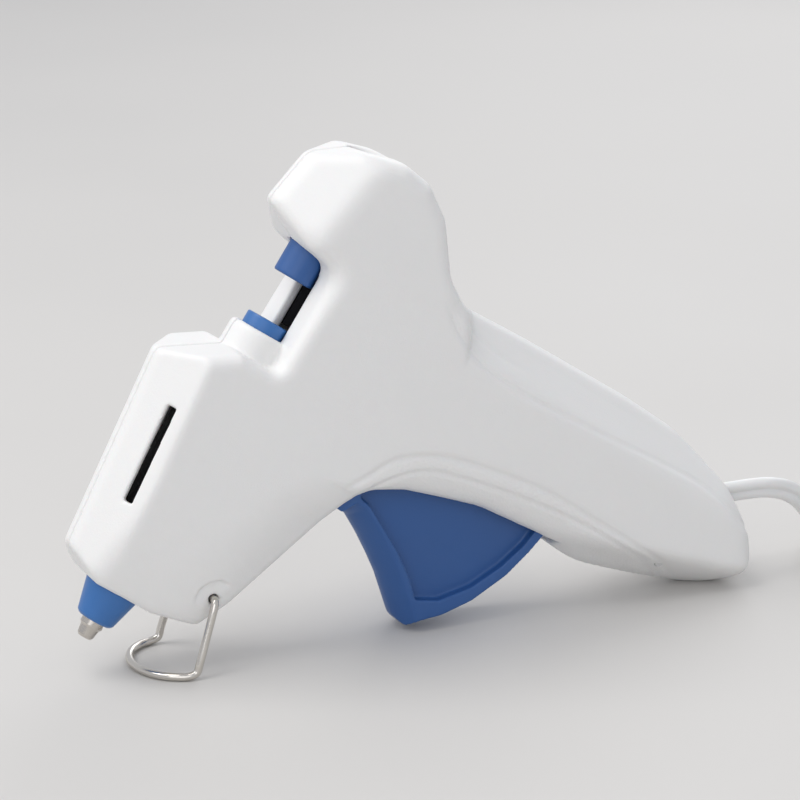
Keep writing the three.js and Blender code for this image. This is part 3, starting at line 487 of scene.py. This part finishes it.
def make_trigger():
    g = Grid((34.0, -92.5, -8.0), (78.6, -12.0, 8.0), 0.36)
    outline = smooth_outline([(55.9, -33.9, 0.3), (52.6, -34.7, 0.3), (53.3, -38.6, 1.2)] + [(u, v, 8) for u, v in FINGER] + [(36.4, -69.9, 1.0)] + [(u, v, 10) for u, v in RIM] + [
        (76.6, -86, 1), (76.2, -66, 4), (73.9, -51.9, 2), (63.4, -35.4, 1), (61.4, -29.0, 2),
        (60.4, -17.5, 1), (59.5, -13.4, 0.6), (57.5, -13.4, 0.6), (56.7, -17.5, 1), (55.9, -27.5, 2)])
    d2 = poly_sdf(outline, g.u2, g.v2)[:, :, None]
    aw = np.abs(g.w)
    d = extrude(d2 + 0.03, g.w, 6.97, 0.35)
    # crown of the finger face
    face = poly_sdf([(54.0, -30), (53.0, -42.4), (50.2, -47.8), (47.1, -53.0), (44.1, -57.6), (40.9, -61.6), (37.2, -66.2), (30.5, -74.0), (30, -120), (120, -120), (120, -30)], g.u2, g.v2)[:, :, None]
    crown = face + 4.1 * (aw / 7.0) ** 1.7 * step01(-g.v, 37.8, 40.8)
    d = smax(d, crown, 0.35)
    pocket = smooth_outline([(58.2, -40.6, 1), (57.6, -43.9, 2), (54.8, -49.6, 6), (51.0, -57.1, 8), (47.0, -63.1, 6), (43.3, -67.3, 1), (45.9, -73.0, 1.5), (52.3, -79.0, 8),
                             (60.0, -83.3, 8), (67.0, -85.8, 8), (75.5, -87.2, 1), (75.3, -66, 4), (71.6, -51.4, 2), (63.6, -38.0, 1)])
    pk = poly_sdf(pocket, g.u2, g.v2)[:, :, None]
    pk = smax(pk, 4.5 - aw, 0.8)
    d = smax(d, -pk, 0.3)
    arm = np.maximum(-32.6 - g.v, 1.7 - aw)
    d = smax(d, -arm, 0.3)
    hub = cyl_w(g, *PIVOT, -6.6, 6.6, 3.2)
    d = smin(d, hub, 0.3)
    d = np.maximum(d, -cyl_w(g, *PIVOT, -20, 20, 1.8))
    o, _ = g.mesh(d, "trigger_skin")
    return use(o, BLUE)


trigger = make_trigger()
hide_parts("trigger")
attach(trigger, "trigger")


# ------------------------------------------------------------------ carriage
def make_carriage():
    g = Grid((93.4, -16.8, -5.8), (117.8, 5.8, 5.8), 0.28)
    rad = np.hypot(g.v, g.w)
    tube = cyl_u(g, 94.1, 117, 4.88, 0.45)
    cheeks = np.maximum(box3(g, 103.6, 115, -15.9, -3.9, -3.9, 3.9, 0.3), -box3(g, 100, 120, -20, -3.0, -2.3, 2.3))
    d = np.minimum(tube, cheeks)
    d = smax(d, -(rad - 3.8), 0.35)
    d = np.maximum(d, -box3(g, 106.5, 113, -8, 0, -2.3, 2.3))
    d = np.maximum(d, -cyl_w(g, 110, -9.5, -6, 6, 1.3))
    d = np.maximum(d, -cyl_w(g, 105.2, -14.4, -6, 6, 1.0))
    o, _ = g.mesh(d, "carriage_skin")
    return use(o, BLUE)


carriage = make_carriage()
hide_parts("stick_carriage")
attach(carriage, "carriage")


# ------------------------------------------------------------------ turned pieces
def lathe(name, profile, m, seg=72, steps=4):
    """A closed profile [u, radius, fillet] turned about the channel's axis."""
    prof = smooth_outline(profile, steps)
    verts, faces = [], []
    n = len(prof)
    for k in range(seg):
        a = 2 * math.pi * k / seg
        verts += [(u, r * math.cos(a), r * math.sin(a)) for u, r in prof]
    for k in range(seg):
        for i in range(n):
            j, k2 = (i + 1) % n, (k + 1) % seg
            faces.append((k * n + i, k * n + j, k2 * n + j, k2 * n + i))
    row = to_row(verts)
    me = bpy.data.meshes.new(name)
    me.from_pydata([tuple(p) for p in row], [], faces)
    me.update()
    v = np.array([p.center.dot(p.normal) * p.area for p in me.polygons]).sum()
    if v < 0:
        me.flip_normals()
    me.polygons.foreach_set("use_smooth", np.ones(len(me.polygons), bool))
    me.update()
    o = bpy.data.objects.new(name, me)
    SCENE.collection.objects.link(o)
    return use(o, m)


tip = lathe("tip_skin", [(0, 0.8, 0.1), (0, 1.6, 0.15), (0.5, 1.98, 0.2), (2.6, 2.33, 0.15), (3.1, 2.73, 0.2), (7.0, 2.73, 0.1), (7.0, 0.8, 0)], TIPMETAL)
insulator = lathe("insulator_skin", [(4.5, 3.05, 0.2), (4.5, 4.0, 0.45), (5.1, 4.6, 0.5), (12.6, 6.58, 1.5), (18.6, 6.58, 0.3), (18.6, 5.67, 0), (13.7, 5.42, 0),
                                     (12.3, 3.77, 0), (7.3, 3.77, 0), (7.3, 3.05, 0)], SILICONE)
sleeve = lathe("sleeve_skin", [(60.4, 4.82, 0), (60.4, 6.03, 0.2), (66, 6.03, 0.2), (67, 5.13, 0.2), (83.28, 5.13, 0.45),
                               (83.28, 3.82, 0.3), (66.4, 3.82, 0), (66.4, 4.82, 0)], SILICONE)
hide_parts("nozzle_tip")
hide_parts("nozzle_insulator")
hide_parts("feed_sleeve")
for o in (tip, insulator, sleeve):
    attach(o, "body")


# ------------------------------------------------------------------ swept pieces
def sweep(name, path, section, m, up=(0, 0, 1), twist=None, caps=True):
    """path in metres; section a list of (a, b) in metres, b towards `up` turned by twist."""
    path = [np.array(p, float) for p in path]
    n, k = len(path), len(section)
    tan = []
    for i in range(n):
        t = path[min(i + 1, n - 1)] - path[max(i - 1, 0)]
        tan.append(t / np.linalg.norm(t))
    nrm = np.array(up, float)
    nrm -= tan[0] * (nrm @ tan[0])
    nrm /= np.linalg.norm(nrm)
    verts, faces = [], []
    for i in range(n):
        nrm = nrm - tan[i] * (nrm @ tan[i])
        nrm /= np.linalg.norm(nrm)
        b = np.cross(tan[i], nrm)
        a = twist[i] if twist is not None else 0.0
        e1, e2 = b * math.cos(a) + nrm * math.sin(a), nrm * math.cos(a) - b * math.sin(a)
        verts += [tuple(path[i] + e1 * s + e2 * t) for s, t in section]
    for i in range(n - 1):
        for j in range(k):
            q = (j + 1) % k
            faces.append((i * k + j, i * k + q, (i + 1) * k + q, (i + 1) * k + j))
    if caps:
        faces.append(tuple(range(k))[::-1])
        faces.append(tuple((n - 1) * k + j for j in range(k)))
    me = bpy.data.meshes.new(name)
    me.from_pydata(verts, [], faces)
    me.update()
    o = bpy.data.objects.new(name, me)
    SCENE.collection.objects.link(o)
    v = 0.0
    for f in me.polygons:
        vs = [me.vertices[i].co for i in f.vertices]
        for q in range(1, len(vs) - 1):
            v += vs[0].dot(vs[q].cross(vs[q + 1]))
    if v < 0:
        me.flip_normals()
    me.polygons.foreach_set("use_smooth", np.ones(len(me.polygons), bool))
    me.update()
    return use(o, m)


def circle(r, n):
    return [(r * math.cos(2 * math.pi * i / n), r * math.sin(2 * math.pi * i / n)) for i in range(n)]


# stand: one bent wire
SHIFT, FOOT, LEG, RW = TIP[0] + 22.287, 12.8, 11.7, 0.93
sp = to_row([(STAND[0], STAND[1], 0)])[0] / MM
zz = 0.95 + 0.06
half = [
    (sp[0], -5.2, sp[2]), (sp[0], -8.5, sp[2]), (sp[0], -10.2, sp[2]), (sp[0] - 0.1, -11.2, sp[2] - 0.45), (sp[0] - 0.5, -LEG, sp[2] - 1.5),
    (sp[0] - 2.2, -LEG - 0.5, sp[2] - 6.6), (SHIFT + 0.9, -FOOT, zz + 3.0), (SHIFT + 0.1, -FOOT + 0.1, zz + 0.7),
    (SHIFT - 1.6, -FOOT + 0.2, zz), (SHIFT - 4.6, -FOOT + 1.3, zz), (SHIFT - 7.8, -FOOT + 4.0, zz), (SHIFT - 9.9, -4.8, zz)]
pts = half + [(SHIFT - 10.7, 0, zz)] + [(x, -y, q) for x, y, q in reversed(half)]
stand = sweep("stand_skin", [np.array(p) * MM for p in spline(pts, 8)], circle(RW * MM, 20), NICKEL)
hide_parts("wire_stand")
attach(stand, "stand")

# cord: flat twin flex from the butt to a tied hank and its plug
EX, HY, X0, X1 = 86.0, -10.5, 133.0, 218.0
lead = [(EX - 9.0, 0, 21.2), (EX - 4.5, 0, 21.2), (EX, 0, 21.2)]
for x in (92, 96, 100, 104, 108, 111.5, 115, 119, 123, 127, 130.5):
    z = 21.2 - (26 - math.sqrt(676 - (x - 92) ** 2)) if x < 111.45 else 3.75 + (26 - math.sqrt(max(0.0, 676 - (130.9 - x) ** 2)))
    t = min(1.0, max(0.0, (x - 94) / 37))
    lead.append((x, 11.5 * t * t * (3 - 2 * t), z))
slots = [(22.0, 3.75), (16.5, 3.75), (16.5, 9.25), (22.0, 9.25), (22.0, 14.75)]
hank = []
for t, (r, z) in enumerate(slots):
    r2, z2 = slots[t + 1] if t + 1 < len(slots) else (16.5, 14.75)
    for k in range(12):                                  # out along the +Y run
        hank.append((X0 + (X1 - X0) * k / 12, HY + r, z))
    for k in range(18):                                  # round the far fold
        a = math.radians(90 - 180 * k / 18)
        hank.append((X1 + r * math.cos(a), HY + r * math.sin(a), z))
    for k in range(12):                                  # back along the -Y run
        hank.append((X1 + (X0 - X1) * k / 12, HY - r, z))
    for k in range(18):                                  # the near fold takes it to the next place
        q = k / 18
        e = q * q * (3 - 2 * q)
        rr, zz2 = r + (r2 - r) * e, z + (z2 - z) * e
        a = math.radians(270 - 180 * q)
        hank.append((X0 + rr * math.cos(a), HY + rr * math.sin(a), zz2))
# the tail leaves the top run, sinks into the middle and ends in the plug
for k in range(1 + 14):
    q = k / 14
    e = q * q * (3 - 2 * q)
    f = min(1.0, max(0.0, (q - 0.12) / 0.88))
    f = f * f * (3 - 2 * f)
    hank.append((X0 + 50.0 * q, HY + 16.5 * (1 - e), 14.75 + (5.9 - 14.75) * f))
line = [np.array(p, float) for p in spline(lead, 6)][:-1] + [np.array(p, float) for p in hank]
line = [p for i, p in enumerate(line) if i == 0 or np.linalg.norm(p - line[i - 1]) > 0.6]
line.append(line[-1] + np.array([1.2, 0, 0.0]))
path = [p * MM for p in line]
sec = []
for i in range(28):                                     # two round cores side by side, with a groove between them
    a = 2 * math.pi * (i + 0.5) / 28
    c, sn = math.cos(a), math.sin(a)
    k, rr = 1.27, 1.47
    reach = rr * rr - (k * sn) ** 2
    d = abs(c) * k + math.sqrt(max(reach, 0.0))
    sec.append((d * c * MM, d * sn * MM))
run, s_at = 0.0, []
for i, p in enumerate(path):
    if i:
        run += float(np.linalg.norm(p - path[i - 1]))
    s_at.append(run)
twist = [math.radians(76) + 0.2 * math.sin(s * 23) * min(1, s / 0.05) for s in s_at]
cord = sweep("cord_skin", path, sec, CORD, twist=twist)
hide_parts("power_cord", "cord_coil")
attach(cord, "body")


# plug
def make_plug():
    x0, y0, z0 = X0 + 50.0, HY, 5.9
    step = 0.4
    ax = [np.arange(x0 - 1.4, x0 + 23.4, step), np.arange(y0 - 9.6, y0 + 9.6, step), np.arange(z0 - 6.8, z0 + 6.8, step)]
    X, Y, Z = ax[0][:, None, None], ax[1][None, :, None], ax[2][None, None, :]
    t = np.clip((X - x0) / 22.0, 0, 1)
    hw = 4.55 + (7.95 - 4.55) * t ** 0.8
    hz = 3.6 + (5.5 - 3.6) * np.clip(t * 2.4, 0, 1) ** 0.7
    ribs = 0.28 * (0.5 + 0.5 * np.cos((X - x0) * 2 * math.pi / 2.4)) * np.clip(1 - np.abs(X - x0 - 6.0) / 5.0, 0, 1) ** 0.3
    e = 1.9
    a, b, c = np.abs(X - x0 - 11.0) - 10.98 + e, np.abs(Y - y0) - hw + ribs + e, np.abs(Z - z0) - hz + ribs * 0.6 + e
    d = np.minimum(np.maximum(np.maximum(a, b), c), 0) + np.sqrt(np.maximum(a, 0) ** 2 + np.maximum(b, 0) ** 2 + np.maximum(c, 0) ** 2) - e
    d = d.astype(np.float32)
    grid = openvdb.FloatGrid(3.0)
    grid.copyFromArray(np.ascontiguousarray(d))
    p, tris, quads = grid.convertToPolygons(isovalue=0.0)
    p = np.asarray(p, float) * step + np.array([ax[0][0], ax[1][0], ax[2][0]])
    me = bpy.data.meshes.new("plug_skin")
    me.from_pydata([tuple(q) for q in p * MM], [], [tuple(int(i) for i in f) for f in np.asarray(quads)] + [tuple(int(i) for i in f) for f in np.asarray(tris)])
    me.update()
    centre = Vector(((x0 + 11) * MM, y0 * MM, z0 * MM))
    if sum((f.center - centre).dot(f.normal) for f in me.polygons) < 0:
        me.flip_normals()
    me.polygons.foreach_set("use_smooth", np.ones(len(me.polygons), bool))
    o = bpy.data.objects.new("plug_skin", me)
    SCENE.collection.objects.link(o)
    return use(o, CORD)


plug = make_plug()
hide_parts("plug_body")
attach(plug, "body")

# ------------------------------------------------------------------ carried CAD nodes
# barrel_heat_wrap gets near-black as painted shade behind the feed slot
# stick_trough gets near-black as painted shade for the dark interior seen through the feed slot
CARRIED = {
    "melt_barrel": ALU, "ptc_heater": CERAMIC, "heater_clip": STEEL, "barrel_heat_wrap": WRAP_PAINTED_SHADE, "stick_trough": BLACK_NYLON_AND_SLOT_SHADE,
    "grip_lever_pin": STEEL, "grip_lever": BLACK_NYLON_AND_SLOT_SHADE, "push_link": BLACK_NYLON_AND_SLOT_SHADE, "link_pin": STEEL, "trigger_pivot_pin": STEEL,
    "lead_wire_left": LEADW, "lead_wire_right": LEADB, "trigger_return_spring": STEEL, "cord_clamp": BLACK_NYLON_AND_SLOT_SHADE, "cord_tie": BLACK_NYLON_AND_SLOT_SHADE,
    "plug_blade_1": BRASS, "plug_blade_2": BRASS, **{"housing_screw_%d" % i: STEEL for i in range(1, 6)}}
for n, m in CARRIED.items():
    use(nodes[n], m)
for n in ("cord_tie", "plug_blade_1", "plug_blade_2", "cord_clamp", "push_link", "grip_lever", "stick_trough"):
    bv = nodes[n].modifiers.new("edge", "BEVEL")
    bv.width = 0.0002
    bv.segments = 2
    bv.limit_method = "ANGLE"

# ------------------------------------------------------------------ floor and light
me = bpy.data.meshes.new("floor")
me.from_pydata([(-6, -6, 0), (6, -6, 0), (6, 8, 0), (-6, 8, 0)], [], [(0, 1, 2, 3)])
floor = bpy.data.objects.new("floor", me)
SCENE.collection.objects.link(floor)
use(floor, material("floor_pale", (0.62, 0.605, 0.585), rough=0.6, rough_var=0.06, bump=0.15, scale=400, coarse=6, color_var=0.02))


def area(name, loc, target, size, power, color=(1, 1, 1)):
    d = bpy.data.lights.new(name, "AREA")
    d.shape = "RECTANGLE"
    d.size, d.size_y = size
    d.energy = power
    d.color = color
    o = bpy.data.objects.new(name, d)
    SCENE.collection.objects.link(o)
    o.location = loc
    o.rotation_euler = (Vector(target) - Vector(loc)).to_track_quat("-Z", "Y").to_euler()
    return o


area("key", (-0.55, 0.10, 1.05), (0, 0, 0.05), (0.9, 0.9), 7.6, (1.0, 0.99, 0.975))
area("fill", (-0.75, -1.15, 0.65), (0, 0, 0.05), (1.1, 0.9), 3.6, (0.99, 0.99, 1.0))
area("rim", (0.75, 0.75, 0.55), (0, 0, 0.06), (0.8, 0.6), 2.4)
world = bpy.data.worlds.new("world")
SCENE.world = world
world.use_nodes = True
bg = world.node_tree.nodes["Background"]
bg.inputs["Color"].default_value = (0.93, 0.95, 1.0, 1)
bg.inputs["Strength"].default_value = 0.64
SCENE.view_settings.view_transform = "Standard"
